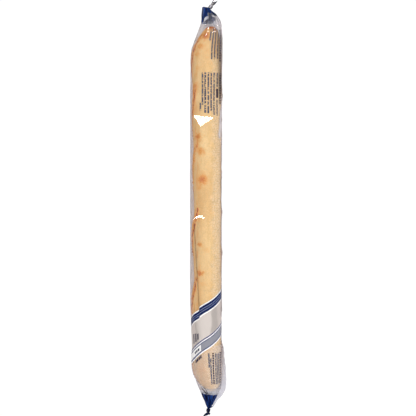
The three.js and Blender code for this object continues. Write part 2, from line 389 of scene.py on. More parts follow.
def makeLoafMaterial():
    # lean white dough baked in a fluted tray: a dry matt crust, gold where it faced the oven, paler
    # and speckled by the tray's holes at the base, red-brown along the torn edges of the scores
    material, tree = newMaterial("wheat_crust_tray_baked")
    place = addNode(tree, "TexCoord", out="Object")
    toast = addNode(tree, "Attribute", {}, "Fac", attribute_name="toast")
    opened = addNode(tree, "Attribute", {}, "Fac", attribute_name="opened")
    tray = addNode(tree, "Attribute", {}, "Fac", attribute_name="tray")
    flat = addNode(tree, "UVMap", uv_map="crustFlat")
    # broad shading of the bake: patches 35 mm across, drawn out to 100 mm along the loaf
    drawn = addNode(tree, "Mapping", {"Vector": place, "Scale": (0.35, 1, 1)})
    broad = addNode(
        tree, "TexNoise",
        {"Vector": drawn, "Scale": 1 / (loaf["patchSize"] * mm), "Detail": 3, "Roughness": 0.55},
    )
    grain = addNode(
        tree, "TexNoise",
        {"Vector": place, "Scale": 1 / (loaf["grainSize"] * mm), "Detail": 4, "Roughness": 0.6},
    )
    gold = addNode(tree, "ValToRGB", {"Fac": broad}, stops=shades(loaf["goldStops"]))
    pale = addNode(
        tree, "Mix", {"Factor": tray, "A": gold, "B": linear(loaf["trayColour"])}, 2, data_type="RGBA"
    )
    mottle = addNode(
        tree, "TexNoise",
        {"Vector": place, "Scale": 1 / (loaf["mottleSize"] * mm), "Detail": 3, "Roughness": 0.7},
    )
    patchy = addNode(tree, "Math", {0: mottle, 1: 0.6, 2: grain}, operation="MULTIPLY_ADD")
    speck = addNode(
        tree, "MapRange", {"Value": patchy, "From Min": 0.6, "From Max": 1.0, "To Min": 0.76, "To Max": 1.17}
    )
    strong = addNode(tree, "Math", {0: tray, 1: 0.6, 2: 0.42}, operation="MULTIPLY_ADD")
    shaded = addNode(
        tree, "Mix", {"Factor": strong, "A": pale, "B": speck}, 2, data_type="RGBA", blend_type="MULTIPLY"
    )
    # the tray's small holes leave pale pimples
    holes = addNode(
        tree, "TexVoronoi", {"Vector": flat, "Scale": 1 / loaf["pimpleGap"], "Randomness": 0.65},
        "Distance", voronoi_dimensions="2D",
    )
    pimple = addNode(
        tree, "MapRange", {"Value": holes, "From Min": 0.15, "From Max": 0.5, "To Min": 0.8, "To Max": 0.0}
    )
    pimpled = addNode(tree, "Math", {0: pimple, 1: tray}, operation="MULTIPLY")
    dotted = addNode(
        tree, "Mix", {"Factor": pimpled, "A": shaded, "B": linear(loaf["pimpleColour"])}, 2,
        data_type="RGBA",
    )
    crumb = addNode(tree, "ValToRGB", {"Fac": grain}, stops=shades(loaf["crumbStops"]))
    torn = addNode(tree, "Mix", {"Factor": opened, "A": dotted, "B": crumb}, 2, data_type="RGBA")
    # the grain breaks up the edges of the browned places
    uneven = addNode(
        tree, "MapRange", {"Value": grain, "From Min": 0.3, "From Max": 0.7, "To Min": -0.09, "To Max": 0.09}
    )
    heat = addNode(tree, "Math", {0: toast, 1: uneven}, operation="ADD")
    brown = addNode(tree, "ValToRGB", {"Fac": heat}, stops=shades(loaf["toastStops"]))
    cover = addNode(tree, "MapRange", {"Value": heat, "From Min": 0.06, "From Max": 0.42})
    colour = addNode(tree, "Mix", {"Factor": cover, "A": torn, "B": brown}, 2, data_type="RGBA")
    skin = addNode(tree, "TexNoise", {"Vector": place, "Scale": 1 / (loaf["skinSize"] * mm), "Detail": 3})
    bumpy = addNode(tree, "Math", {0: grain, 1: skin}, operation="ADD")
    raised = addNode(tree, "Math", {0: pimpled, 1: 0.8, 2: bumpy}, operation="MULTIPLY_ADD")
    normal = addNode(tree, "Bump", {"Height": raised, "Strength": 0.35, "Distance": loaf["roughDepth"] * mm})
    surface = addNode(
        tree, "BsdfPrincipled",
        {"Base Color": colour, "Normal": normal, "Roughness": loaf["roughness"], "IOR": 1.45,
         "Specular IOR Level": 0.35},
    )
    addNode(tree, "OutputMaterial", {"Surface": surface})
    return material


def bakeLoaf(x, angle, toast):
    # how brown the crust is, from 0 to 1
    rim = np.maximum(1 - loafFlank(x) / 17, 0) * (x < 0)
    tips = (0.75 * rim**0.8 + 0.2 * step(-185, -255, x)) * (0.85 + 0.3 * ripple(x, angle, (12, 0.8), 5))
    # the flank next to the scores faced the oven and took more colour
    side = loaf["sideToast"] * step(math.radians(100), math.radians(136), angle)
    side *= 0.8 + 0.85 * ripple(x, angle, (22, 0.5), 9)
    # the ridge between two scores took the most, and the middle of the base browned on the tray
    ridge = loaf["ridgeToast"] * window(angle, np.radians((148, 178)), np.radians((246, 196)))
    base = loaf["baseToast"] * step(0.3, 0.05, np.abs(wrapped(angle)))
    even = np.maximum(ridge, base) * (0.9 + 0.12 * ripple(x, angle, (75, 1.6), 12))
    return np.clip(np.maximum.reduce([toast, toastSpots(x, angle), tips, side, even]), 0, 1)


def makeLoaf():
    clearSelection()
    bpy.ops.mesh.primitive_uv_sphere_add(
        segments=loaf["sides"], ring_count=loaf["rings"], radius=1, rotation=(0, math.pi / 2, 0)
    )
    piece = takeActive("loaf_crust")
    bpy.ops.object.transform_apply(rotation=True)
    ball = readPoints(piece)
    # rings lie evenly along the loaf, closer together at its two ends
    turn = np.arccos(np.clip(-ball[:, 0], -1, 1))
    spread = loaf["ringSpread"]
    halfLength = loafSize[0] / 2
    x = halfLength * np.interp(turn, np.linspace(0, math.pi, len(spread)), spread)
    angle = np.arctan2(ball[:, 2], ball[:, 1])
    angle = np.where(angle < -math.pi / 2, angle + 2 * math.pi, angle)
    y, z, toast, opened = loafSurface(x, angle)
    points = np.c_[x, y, z]
    # each pole goes to the middle of the ring beside it
    for end in (-1, 1):
        pole = ball[:, 0] * end > 1 - 1e-7
        last = (np.abs(x) > 0.985 * halfLength) & (x * end > 0) & ~pole
        last &= np.abs(x) > np.abs(x[last]).max() - 1e-6
        points[pole, 1:] = points[last, 1:].mean(0)
    writePoints(piece, points * mm + centre)
    writeValue(piece, "toast", bakeLoaf(x, angle, toast))
    writeValue(piece, "opened", opened)
    # the tray reached up both flanks, to an uneven line
    reached = math.radians(loaf["trayReach"]) + math.radians(5) * ripple(x, 0 * angle, (30, 9), 8)
    writeValue(piece, "tray", 0.9 * step(0, math.radians(24), reached - np.abs(wrapped(angle))))
    writeFlat(piece, "crustFlat", np.c_[x, loaf["meanRadius"] * angle])
    piece.data.materials.append(makeLoafMaterial())
    smoothPiece(piece)
    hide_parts("loaf")
    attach(piece, "root")
    print("loaf:", len(piece.data.polygons), "faces")


# the film bag
film = {
    "lengthSteps": 530,
    "tubeSteps": 168,
    "finSteps": 7,
    "tubeWidth": 151,  # of the flat film that goes once round the loaf
    "finWidth": 9.5,  # of each of its two edges, sealed together into the back seam's fin
    # rows of the mesh: up to each place along the pack, how many steps from the one before
    "rows": [(-319.5, 0), (-252, 106), (-148, 58), (-118, 34), (3, 73), (24, 34), (200, 92), (258, 43),
             (317.5, 90)],
    # its outline seen from above and half its height, each (place along it, mm)
    "topEdge": [(-319.5, 8.4), (-316.3, 7.4), (-312.9, 5.7), (-307.7, 2.1), (-305.4, -0.6), (-303.8, -7.6),
                (-297, -9.2), (-285, -9.2), (-246, -23.8), (-236, -25.2), (-203.5, -25.6), (147.5, -25.6),
                (214.5, -22.8), (248.5, -19.7), (262.5, -17.1), (274.5, -12.6), (283.7, -8.6),
                (291.4, -5.4), (300.5, -1.7), (304, 0), (305.9, 0.9), (311.7, 0), (313.2, -3.6),
                (317.5, -8.4)],
    "baseEdge": [(-319.5, 14.6), (-316.3, 12.9), (-312.9, 9.1), (-307.7, 5.5), (-306.2, 8.4),
                 (-303.5, 10.6), (-296.9, 14.9), (-293.1, 17.4), (-287, 20.3), (-279.3, 22.3), (-265, 23.5),
                 (-238.5, 23.9), (-193.5, 23), (202.5, 22.65), (258.5, 22.65), (274.5, 20.6), (283.7, 16.2),
                 (291.4, 12.7), (300.5, 8), (304, 5.6), (305.9, 4.3), (311.7, 3.4), (313.2, 4.8),
                 (317.5, 4.6)],
    "flankEdge": [(-319.5, 0.9), (-316.3, 1.4), (-312.9, 1.7), (-307.7, 1.7), (-305.4, 2.6),
                  (-303.8, 4.4), (-295.5, 10.4), (-286, 18), (-281.5, 20), (-279, 20.25), (-275.2, 21.9),
                  (-272.8, 22.15), (-270, 23.1), (-262, 23.4), (242.5, 23.3),
                  (262, 21), (274.5, 17.2), (285.5, 12), (295.5, 6.6), (302.5, 4.4), (304.5, 2.6),
                  (305.9, 1.7), (311.7, 1.7), (317.5, 1.7)],
    "fullFlank": 23.3,
    "meanRadius": 23,
    # taut from the crown to a corner off the scored top: how far out its two sides lie, the degrees
    # round the pack that each faces, and the corner's rounding
    "box": ((23.4, 102), (24.4, 166), 1.2),
    "clearance": 0.45,  # the film lies at least this far out from the crust
    "crustEnd": 279.5,  # the crust is followed this far, both ways from the middle
    "neckDrop": 1.0,  # how far the gathered ends hang
    "neckRadius": 1.85,  # of the gathered film inside a clip, whose bore's radius is 2.1
    "neckHold": 3.2,  # how far that narrow part reaches, both ways from the clip's middle
    "clipLean": {"head_clip": -0.606, "tail_clip": -0.181},  # radians from X to a clip's own axis
    "earCorner": 4.3,  # how far the folded corner beside the head's neck stands back
    "turn": [(-319.5, -0.72), (-314, -0.68), (-307.7, -0.6), (-303.5, -0.2), (-297, 0), (300, 0),
             (306, 0.1), (312, 0.2), (316.5, 0.4)],
    "finLean": [(-319.5, 0.4), (-290, 0.05), (-250, -0.07), (190, -0.05), (220, 0.36), (258, 0.78),
                (280, 1.05), (300, 1.2), (316.5, 1.2)],
    "finReach": [(-319.5, 0.05), (-308, 0.1), (-300, 0.3), (-284, 0.9), (-270, 1), (278, 1), (286, 0.9),
                 (293, 0.45), (303, 0.4), (306.5, 0.1), (316.5, 0.05)],
    # one lengthwise tuck hides some film: where it runs, degrees round the pack, and how much
    "tuck": [(18, 132), (152, 113)],
    "tuckHides": 6.5,
    # painted shade along sharp folds where the tail gathers: how dark, and degrees round the pack at both
    # their ends
    "tailFoldShades": [(1.0, (134, 112)), (0.9, (118, 96))],
    # a taut facet on the upper flank: its two low corners, its peak, its far corner and its rise
    "tent": ((-144, -22.5), (-139, 13.5), (-124, -10.7), (-55, -6), 4.3),
    # the film swells over the loaf's belly: front, middle, half width, depth of its front, length
    "swell": (8.9, -10.6, 10.2, 4.7, 80),
    # the diagonal sash, in mm of the flat sheet: where it starts beside the seam, how far it climbs
    # for each millimetre round the pack, its width, and the length that its row of bands is laid out on
    "sashStart": 116.8,
    "sashClimb": 0.68,
    "sashWidth": 70.6,
    "sashSpan": 80,
    # its bands' colours, each from this far across it, and where the silver band and the grey band
    # lie: middle and half width
    "sashBands": [(0, "#F1EFEE"), (2, "#0C1F50"), (6, "#929CBD"), (6.6, "#0C1F50"), (9.4, "#929CBD"),
                  (10, "#0C1F50"), (14.3, "#F1EFEE"), (16.3, "#CBC2BC"), (51, "#2F3B6C"), (53, "#F1EFEE"),
                  (54.9, "#2F3B6C"), (56.2, "#8B8C95"), (67, "#2F3B6C"), (68.4, "#F1EFEE")],
    "silverBand": (33.6, 17.3),
    "greyBand": (61.6, 4.6),
    "silverMetal": 0.55,  # how much of the silver ink is metal
    # colours of the solid ends, the small print, the label, the painted shade over its ink and over its clear
    # film where it folds or lies in shade, and its milky places
    "navyStops": [(0.36, "#060D2A"), (0.52, "#0E2256"), (0.72, "#24509C")],
    "printColour": "#11153A",
    "labelColour": "#F1EFEE",
    "paintedShadeInk": "#060915",
    "shadeColour": "#8F867F",
    "milkColour": "#DEDEE7",
    # where the head's solid navy ends, each (degrees round the pack, place along it)
    "headInk": [(0, -296.5), (48, -297), (63, -299.2), (98, -298.4), (108, -297), (124, -293.5),
                (146, -286.5), (160, -285), (200, -285), (300, -287.5), (336, -297), (360, -296.5)],
    "tailInk": 283,  # and the tail's starts here
    # small printed bars: mm round the pack from the seam, start and end along it, half height
    "bars": [(35.2, -274.7, -255.5, 1.2), (30.6, -274.7, -227, 1.2), (25.8, -274.7, -227, 1.2),
             (20.2, -274, -228, 1.2), (45.9, -161, -149, 1.2),
             (42.6, -207, -158, 1.2), (38.8, -207, -145.8, 1.2), (34.8, -207, -145, 1.2),
             (30.6, -207, -149, 1.2), (25.8, -207, -142.8, 1.2), (20, -207, -185, 1.2),
             (20, -166, -142, 1.2), (35.4, 218, 240, 1.1), (32.6, 226, 266.8, 1.1), (23.6, 219, 266, 1.1),
             (20.2, 219, 266, 1.0), (16.6, 219, 266, 1.0)],
    "boldBars": [(13.8, -273, -224, 1.9), (12.6, -207, -159, 1.9), (28.4, 218, 266.8, 1.2),
                 (11.6, 217.7, 266, 1.8)],
    "solidBar": (20, -182.7, -168.9, 1.6),
    # and those that lie along the sash: place across it, start and end round the pack, half height
    "slantBars": [(178.6, 48.5, 61, 1.9), (191.8, 46.5, 60, 2.2)],
    # an ornament of three solid strokes on the pale field, given in the same way
    "strokes": [(156, 60, 63, 7.5), (157.2, 54.9, 57.7, 6.2), (158.6, 50.4, 52.8, 4.6)],
    "labelEdge": 46.5,  # the pale label on the sash starts this far round the pack
    "printRun": 1.9,  # length of the runs that the small bars break into
    "printGrain": 0.9,
    "boldPeriod": 3.8,  # the bolder bars are cut this often
    "streakSize": (14, 2.2),  # of the unevenly laid navy, along the pack and round it
}
filmBase, filmTurn, finLean, finReach = (curve(film[k]) for k in ("baseEdge", "turn", "finLean", "finReach"))


def filmTop(x):
    return np.interp(x, *zip(*film["topEdge"]))


def filmFlank(x):
    return np.interp(x, *zip(*film["flankEdge"]))


def pleats(x, angle, count, sharp, seed):
    # 1 on the ridges of a gathered tube and 0 in its valleys, with uneven spacing
    drift = 0.45 * ripple(0 * x, angle, (999, 2.2), seed) + 0.3 * ripple(x, 0 * angle, (45, 9), seed + 1)
    return np.abs(np.cos(count / 2 * angle + drift)) ** sharp


def slab(x, y, corners):
    # height of the plane through three (x, y, height) corners
    (x0, y0, h0), (x1, y1, h1), (x2, y2, h2) = corners
    area = (x1 - x0) * (y2 - y0) - (x2 - x0) * (y1 - y0)
    u = ((x - x0) * (y2 - y0) - (x2 - x0) * (y - y0)) / area
    v = ((x1 - x0) * (y - y0) - (x - x0) * (y1 - y0)) / area
    return h0 + u * (h1 - h0) + v * (h2 - h0)


def liftedFilm(x, y):
    # where the taut film stands off the loaf on the upper flank, in mm
    start, near, peak, far, rise = film["tent"]
    start, near, peak, far = (*start, 0), (*near, 0), (*peak, rise), (*far, 0)
    facets = [slab(x, y, facet) for facet in ((start, near, peak), (start, far, peak), (near, far, peak))]
    tent = np.clip(np.minimum.reduce(facets), 0, None)
    swellX, swellY, reach, depth, length = film["swell"]
    beside = (y - swellY) / reach
    back = 6.2 * beside**2  # its front bends back to both sides
    swell = 0.17 * np.clip(x - swellX, 0, back)
    swell += 0.317 * np.clip(x - swellX - back, 0, depth * np.clip(1.15 - beside**2, 0, 1))
    swell *= step(1.35, 1.0, np.abs(beside)) * step(length, 12, x - swellX)
    return tent + swell


def filmSurface(x, angle):
    # points of the clear tube for a place along it and an angle, from the seam over the upper flank
    top, base, flank = filmTop(x), filmBase(x), filmFlank(x)
    gather = np.maximum(step(-262, -303, x), step(262, 304, x))
    body = 1 - gather
    outline = 1 - 0.8 * np.cos(angle) ** 6  # the folds are shallow along the pack's two edges
    opens = 1 - 0.6 * step(311.7, 313.5, np.abs(x))
    fold = 0.62 * gather**1.3 * (1 - pleats(x, angle, 11, 0.8, 21)) * outline * opens
    broad = 0.2 * gather**0.6 * body**0.3 * (1 - pleats(x, angle, 5, 1.0, 25)) * outline
    # the deep fold beside the head's ear
    earLine = np.radians(np.interp(x, [-303, -296, -286], [78, 106, 134]))
    ear = 0.42 * window(x, (-283, -292), (-306, -302)) * hump(angle - earLine, 0.16)
    shrink = 1 - np.clip(fold + broad + ear, 0, 0.78)
    # slight waves, but none by the two highlights, where the film is taut, and few by the head
    waves = 0.25 * ripple(x, angle, (80, 0.9), 31) + 0.05 * ripple(x, angle, (30, 0.5), 32)
    waves *= 1 - window(x, (-160, -146), (-110, -122)) - window(x, (-12, 2), (46, 30))
    waves *= 1 - 0.8 * window(x, (-282, -274), (-232, -246))
    crush = 1.4 * gather * body * ripple(x, angle, (9, 0.5), 33)
    puff = (waves + crush) * np.clip(flank / 20, 0, 1)
    full = 1 - 0.07 * step(4, 20, flank)
    cosine, sine = (np.sign(part) * np.abs(part) ** full for part in (np.cos(angle), np.sin(angle)))
    y = ((base - top) / 2 * shrink + puff) * cosine
    sag = loaf["sag"] * np.clip(flank / film["fullFlank"], 0, 1) ** 6
    z = -sag / 2 + ((flank + sag / 2) * shrink + puff) * sine
    (upOut, upFaces), (sideOut, sideFaces), rounding = film["box"]
    radius = np.hypot(y, z)
    upper = upOut / np.clip(np.cos(angle - math.radians(upFaces)), 0.3, 1)
    side = sideOut / np.clip(np.cos(angle - math.radians(sideFaces)), 0.3, 1)
    corner = -rounding * np.log(np.exp(-upper / rounding) + np.exp(-side / rounding))
    between = (angle > math.radians(98)) & (angle < math.radians(172))
    wide = np.where(between, np.maximum(corner, radius), radius)
    grow = 1 + window(x, (-215, -165), (190, 130)) * (wide / np.maximum(radius, 1e-6) - 1)
    y, z = y * grow, z * grow
    z = z + np.where(z > 0, liftedFilm(x, y + (top + base) / 2), 0)
    return y, z


def tuckAngle(x):
    places, degrees = zip(*film["tuck"])
    return np.radians(np.interp(x, places, degrees))


def layTuck(rows, fromSeam, angle):
    # where the tuck runs, some of the film hides in a narrow fold and the rest closes up; this moves
    # the angles and gives how far into the fold each point is
    (start, _), (end, _) = film["tuck"]
    tube = film["tubeWidth"]
    hides = film["tuckHides"] * window(rows, (start - 14, start + 6), (end + 26, end + 4))
    fold = np.zeros(angle.shape)
    for i in np.flatnonzero(hides >= 0.05):
        middle = tuckAngle(rows[i])
        before = middle / (2 * math.pi) * (tube - hides[i])
        places = [0, before, before + hides[i], tube]
        angle[i] = np.interp(fromSeam[i], places, [0, middle - 0.012, middle + 0.012, 2 * math.pi])
        fold[i] = np.clip(1 - np.abs(fromSeam[i] - before - hides[i] / 2) / (hides[i] / 2 + 0.4), 0, 1)
    return fold, (hides / film["tuckHides"])[:, None]


def clearCrust(x, angle, y, z, middle):
    # the taut film bridges the scores' sharp lips, so it clears the highest crust around each point
    end = film["crustEnd"]
    crustY, crustZ, _, _ = loafSurface(np.clip(x, -end, end), angle)
    crust = np.hypot(crustY - middle, crustZ)
    crust = np.maximum.reduce([np.roll(crust, k, axis=1) for k in (-2, -1, 0, 1, 2)])
    crust = np.maximum.reduce([np.roll(crust, k, axis=0) for k in (-1, 0, 1)])
    least = np.where(np.abs(x) < end, crust + film["clearance"], 0)
    lift = np.maximum(least / np.maximum(np.hypot(y, z), 1e-6), 1)
    y, z = y * lift, z * lift
    return y, np.maximum(z, floorZ + 0.02 * np.hypot(y, z))


def squeezeNecks(points):
    # inside a clip the film is narrower than its bore, and it opens out again past both ends
    for name, lean in film["clipLean"].items():
        low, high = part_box(name)
        middle = (np.array((low + high) / 2) - centre) / mm
        axis = np.array([math.cos(lean), math.sin(lean), 0])
        along = (points - middle) @ axis
        side = points - middle - along[..., None] * axis
        radius = np.linalg.norm(side, axis=-1)
        limit = film["neckRadius"] + 4 * np.clip(np.abs(along) - film["neckHold"], 0, None)
        inNeck = (np.abs(along) < 5) & (radius < 9)
        tight = np.where(inNeck, np.minimum(limit / np.maximum(radius, 1e-6), 1), 1)
        points = middle + along[..., None] * axis + side * tight[..., None]
    return points


def layFilm():
    # the flat sheet's grid: rows along the pack, columns across the film from one edge to the other
    fin, tube = film["finWidth"], film["tubeWidth"]
    places, counts = zip(*film["rows"])
    rows = np.interp(np.arange(film["lengthSteps"] + 1), np.r_[0, np.cumsum(counts[1:])], places)
    sealed = np.linspace(0, fin, film["finSteps"] + 1)
    free = np.linspace(0, tube, film["tubeSteps"] + 1)
    columns = np.r_[sealed, fin + free[1:-1], fin + tube + sealed]
    x, across = np.meshgrid(rows, columns, indexing="ij")
    fromSeam = np.clip(across - fin, 0, tube)
    angle = fromSeam / tube * 2 * math.pi
    fold, tucked = layTuck(rows, fromSeam, angle)
    y, z = filmSurface(x, angle)
    grow = 1 + 0.7 * fold * tucked / np.hypot(y, z)
    middle = (filmTop(x) + filmBase(x)) / 2
    y, z = clearCrust(x, angle, y * grow, z * grow, middle)
    # the two sealed edges stand side by side as the back seam's fin, which leans and waves a little
    reach = np.maximum.reduce([fin - across, across - fin - tube, 0 * x]) * finReach(x)
    wave = 0.55 * ripple(x, 0 * angle, (46, 9), 51) + 0.2 * ripple(x, 0 * angle, (13, 9), 52)
    wave *= (reach / fin) ** 1.4
    lean = finLean(x) + 0.1 * wave
    wave *= 0.35 + 0.35 * np.maximum(step(-240, -270, x), step(190, 230, x))
    beside = 0.12 * np.where(across < fin, 1, -1) * (reach > 0) + wave
    y = y + reach * np.sin(lean) + beside * np.cos(lean)
    z = z + reach * np.cos(lean) - beside * np.sin(lean)
    # the gathered ends hang a little, turn aside and are cut unevenly
    drop = film["neckDrop"] * (1 - np.clip(filmFlank(x) / film["fullFlank"], 0, 1))
    turn = filmTurn(x)
    tip = 1.5 * np.cos(2 * angle + 0.3) + 0.7 * np.cos(5 * angle)
    tip *= step(314, 316.5, x) * 0.3 - step(-314, -319.5, x) * 1.5
    ear = np.exp(-(((angle - math.pi) / 1.9) ** 6)) * window(x, (-293, -303.5), (-307.6, -305))
    turnedX = x - y * np.sin(turn) + tip * np.cos(turn) - film["earCorner"] * ear
    turnedY = middle + y * np.cos(turn) + tip * np.sin(turn)
    points = squeezeNecks(np.stack([turnedX, turnedY, z - drop], -1))
    return x, across, fromSeam, angle, fold, points


def addBar(tree, ink, beside, length, bar):
    # one more printed bar on top of the ink so far
    middle, start, end, half = bar
    near = addNode(tree, "Math", {0: beside, 1: middle, 2: half}, operation="COMPARE")
    within = addNode(
        tree, "Math", {0: length, 1: (start + end) / 2, 2: (end - start) / 2}, operation="COMPARE"
    )
    return addNode(tree, "Math", {0: near, 1: within, 2: ink}, operation="MULTIPLY_ADD")


def makeFilmMaterial():
    # 30 micrometre cast polypropylene, clear and glossy, flexo printed in navy, white and silver
    material, tree = newMaterial("cast_polypropylene_film_flexo_printed")
    flat = addNode(tree, "UVMap", uv_map="filmFlat")
    along = addNode(tree, "SeparateXYZ", {"Vector": flat}, "X")
    across = along.node.outputs["Y"]
    # the diagonal sash: how far along its bands each point lies, from 0 to 1
    start, span = film["sashStart"], film["sashSpan"]
    climb = addNode(tree, "Math", {0: across, 1: -film["sashClimb"], 2: along}, operation="MULTIPLY_ADD")
    sash = addNode(tree, "MapRange", {"Value": climb, "From Min": start, "From Max": start + span})
    clear = linear("#F0F0F2", 0)
    bands = shades(film["sashBands"]) + [(film["sashWidth"], clear)]
    stops = [(0, clear)] + [(0.0005 + place / span, colour) for place, colour in bands]
    printed = addNode(tree, "ValToRGB", {"Fac": sash}, stops=stops, blend="CONSTANT")
    # the navy is laid on a little unevenly, in streaks along the web
    long, wide = film["streakSize"]
    streaks = addNode(tree, "Mapping", {"Vector": flat, "Scale": (1 / long, 1 / wide, 1)})
    laid = addNode(tree, "TexNoise", {"Vector": streaks, "Scale": 1.0, "Detail": 2})
    navy = addNode(tree, "ValToRGB", {"Fac": laid}, stops=shades(film["navyStops"]))
    # the two sealed edges carry no print
    halfTube = film["tubeWidth"] / 2
    inner = addNode(tree, "Math", {0: across, 1: halfTube, 2: halfTube - 0.3}, operation="COMPARE")
    cover = addNode(tree, "Math", {0: printed.node.outputs["Alpha"], 1: inner}, operation="MULTIPLY")
    # the label: a pale field over the grey band, up to a slanted end
    middle, half = film["greyBand"]
    field = addNode(tree, "Math", {0: sash, 1: middle / span, 2: half / span}, operation="COMPARE")
    past = addNode(tree, "Math", {0: across, 1: film["labelEdge"]}, operation="GREATER_THAN")
    label = addNode(tree, "Math", {0: field, 1: past}, operation="MULTIPLY")
    colour = addNode(
        tree, "Mix", {"Factor": label, "A": printed, "B": linear(film["labelColour"])}, 2, data_type="RGBA"
    )
    # bars stand for lines of small print, broken into short runs with rough sides, which are drawn
    # coarser than the strokes of letters so that they show
    spread = addNode(tree, "Mapping", {"Vector": flat, "Scale": (1 / film["printRun"], 0.3, 1)})
    runs = addNode(tree, "TexNoise", {"Vector": spread, "Scale": 1.0, "Detail": 1.0})
    fine = addNode(tree, "TexNoise", {"Vector": flat, "Scale": 1 / film["printGrain"], "Detail": 1.0})
    inked = addNode(tree, "MapRange", {"Value": runs, "From Min": 0.4, "From Max": 0.43})
    grainy = addNode(
        tree, "MapRange", {"Value": fine, "From Min": 0.42, "From Max": 0.54, "To Min": 0.75, "To Max": 1.0}
    )
    thin = 0.0
    for bar in film["bars"]:
        thin = addBar(tree, thin, across, along, bar)
    broken = addNode(tree, "Math", {0: thin, 1: inked}, operation="MULTIPLY")
    small = addNode(tree, "Math", {0: broken, 1: grainy}, operation="MULTIPLY")
    # bolder bars along the pack and along the sash, cut at even steps
    for bars, beside, length in ((film["boldBars"], across, along), (film["slantBars"], climb, across)):
        wave = addNode(tree, "Math", {0: length, 1: film["boldPeriod"] / 2}, operation="PINGPONG")
        cut = addNode(tree, "Math", {0: wave, 1: 0.5}, operation="GREATER_THAN")
        bold = 0.0
        for bar in bars:
            bold = addBar(tree, bold, beside, length, bar)
        small = addNode(tree, "Math", {0: bold, 1: cut, 2: small}, operation="MULTIPLY_ADD")
    for bar in film["strokes"]:
        small = addBar(tree, small, climb, across, bar)
    small = addBar(tree, small, across, along, film["solidBar"])
    # silver ink is part metal
    middle, half = film["silverBand"]
    zone = addNode(tree, "Math", {0: sash, 1: middle / span, 2: half / span}, operation="COMPARE")
    bare = addNode(tree, "Math", {0: 1.0, 1: small}, operation="SUBTRACT")
    shine = addNode(tree, "Math", {0: zone, 1: bare}, operation="MULTIPLY")
    metal = addNode(tree, "Math", {0: shine, 1: film["silverMetal"]}, operation="MULTIPLY")
    cover = addNode(tree, "Math", {0: cover, 1: small}, operation="MAXIMUM")
    # solid navy at both ends of the print, measured on the sheet as a distance from its edge
    ends = addNode(tree, "Attribute", {}, "Fac", attribute_name="endInk")
    solid = addNode(
        tree, "MapRange", {"Value": ends, "From Min": -0.2, "From Max": 0.2, "To Min": 1.0, "To Max": 0.0}
    )
    colour = addNode(
        tree, "Mix", {"Factor": small, "A": colour, "B": linear(film["printColour"])}, 2, data_type="RGBA"
    )
    colour = addNode(tree, "Mix", {"Factor": solid, "A": colour, "B": navy}, 2, data_type="RGBA")
    cover = addNode(tree, "Math", {0: cover, 1: solid}, operation="MAXIMUM")
    haze = addNode(tree, "Attribute", {}, "Fac", attribute_name="haze")
    # painted shade: the ink is drawn darker where the film folds, in hollows and past the clips
    paintedFoldShade = addNode(tree, "Attribute", {}, "Fac", attribute_name="paintedFoldShade")
    colour = addNode(
        tree, "Mix", {"Factor": paintedFoldShade, "A": colour, "B": linear(film["paintedShadeInk"])}, 2, data_type="RGBA"
    )
    ink = addNode(
        tree, "BsdfPrincipled",
        {"Base Color": colour, "Metallic": metal, "Roughness": 0.28, "IOR": 1.45, "Specular IOR Level": 0.12},
    )
    # how much a thin film mirrors as it turns away, for its two surfaces together
    facing = addNode(tree, "LayerWeight", {"Blend": 0.5}, "Facing")
    amounts = [(0, 0.036), (0.29, 0.046), (0.5, 0.09), (0.66, 0.18), (0.83, 0.38), (1, 0.62)]
    stops = [(place, grey(amount)) for place, amount in amounts]
    share = addNode(tree, "ValToRGB", {"Fac": facing}, stops=stops, blend="LINEAR")
    # and how much of each colour it lets through, less as it turns away: partly the longer path through the
    # film, and partly painted shade along the pack's edges
    stops = [(0, grey(0.985)), (0.6, grey(0.96)), (0.8, linear("#F1EEEE")), (1, linear("#CDC0BA"))]
    tintAndShade = addNode(tree, "ValToRGB", {"Fac": facing}, stops=stops, blend="LINEAR")
    # and its clear parts let less through there, as painted shade
    dim = addNode(
        tree, "Mix", {"Factor": paintedFoldShade, "A": tintAndShade, "B": linear(film["shadeColour"])}, 2, data_type="RGBA"
    )
    through = addNode(tree, "BsdfTransparent", {"Color": dim})
    mirror = addNode(tree, "BsdfGlossy", {"Color": linear("#E4E2E6"), "Roughness": 0.05})
    glass = addNode(tree, "MixShader", {0: share, 1: through, 2: mirror})
    milk = addNode(tree, "BsdfDiffuse", {"Color": linear(film["milkColour"])})
    veiled = addNode(tree, "MixShader", {0: haze, 1: glass, 2: milk})
    shown = addNode(tree, "MixShader", {0: cover, 1: veiled, 2: ink})
    addNode(tree, "OutputMaterial", {"Surface": shown})
    return material


def isSealed(across):
    return (across < film["finWidth"]) | (across > film["finWidth"] + film["tubeWidth"])


def endInk(x, across, angle):
    # distance in mm from the solid navy of both ends, below 0 inside it
    headEdge = np.interp(np.degrees(angle), *zip(*film["headInk"]))
    edge = np.minimum(x - headEdge, film["tailInk"] + 1.5 * np.cos(angle) - x)
    # the sealed edges stay clear up to the tail's neck, and past the head's clip only two lobes are navy
    ink = np.where(isSealed(across) & (x > 0) & (x < 303), 1, edge)
    lobes = (x < -313.4) & (np.abs(np.cos(angle)) > 0.55)
    return edge, np.where(x < -308, np.where(lobes, -1, 1), ink)


